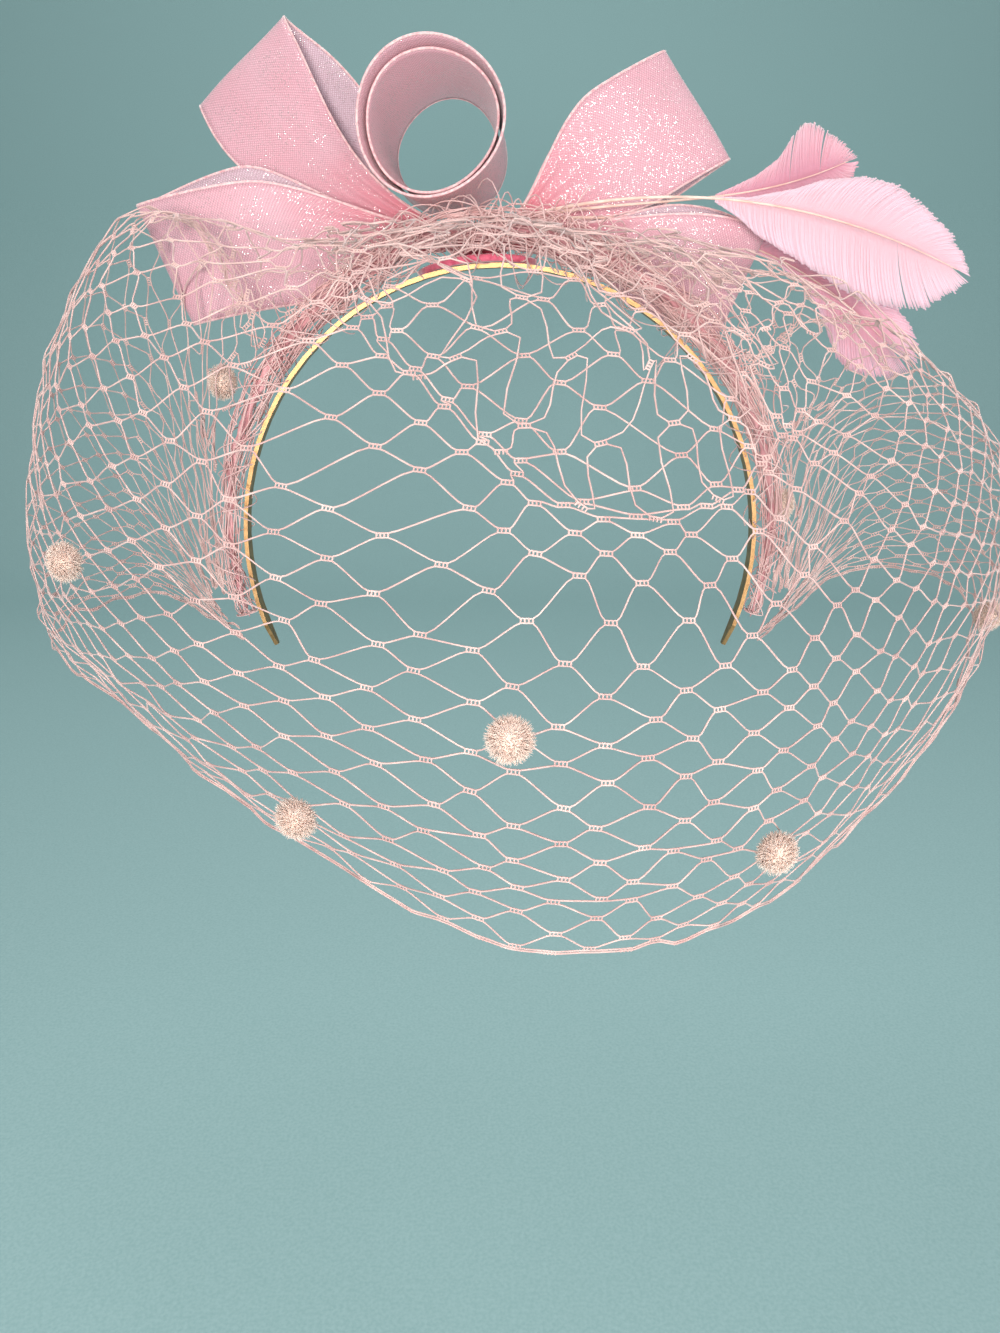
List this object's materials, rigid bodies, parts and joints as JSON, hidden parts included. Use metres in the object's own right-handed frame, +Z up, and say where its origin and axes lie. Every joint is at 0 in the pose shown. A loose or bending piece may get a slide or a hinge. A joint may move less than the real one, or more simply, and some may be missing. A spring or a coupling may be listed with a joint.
{
  "type": "birdcage veil on a headband",
  "caption": "Diamond net veil gathered over a metal headband, with chenille dots, a looped ribbon bow with a round curl, and feathers.",
  "frame": {"origin": "underside of the headband at the crown of the head", "axes": "+Z up, the wearer looks along -Y, +X to the wearer's left, which is the right side seen from the front"},
  "size_m": [0.2993, 0.1772, 0.2205],
  "materials": {
    "gold_metal": "bright gold-tone metal",
    "bunched_net": "bunched dusty pink net threads",
    "pink_felt": "matt hot pink felt",
    "net_thread": "pale pink knotted thread",
    "chenille": "cream-peach chenille tuft",
    "ribbon": "pink woven crin ribbon with fine glitter",
    "ribbon_deep": "gathered crin ribbon, deeper pink",
    "feather_deep": "deep pink feather vane",
    "feather_pale": "pale pink feather vane",
    "feather_mid": "mid pink feather vane"
  },
  "bodies": {
    "root": {"headband": "gold_metal", "net_gather": "bunched_net", "felt_base": "pink_felt", "net": "net_thread", "dot_1": "chenille", "dot_2": "chenille", "dot_3": "chenille", "dot_4": "chenille", "dot_5": "chenille", "dot_6": "chenille", "dot_7": "chenille", "bow_centre": "ribbon_deep", "loop_upper_left": "ribbon", "loop_upper_right": "ribbon", "loop_lower_left": "ribbon", "loop_lower_right": "ribbon", "bow_curl": "ribbon", "feather_upper": "feather_deep", "feather_large": "feather_pale", "feather_lower": "feather_mid"}
  },
  "joints": []
}
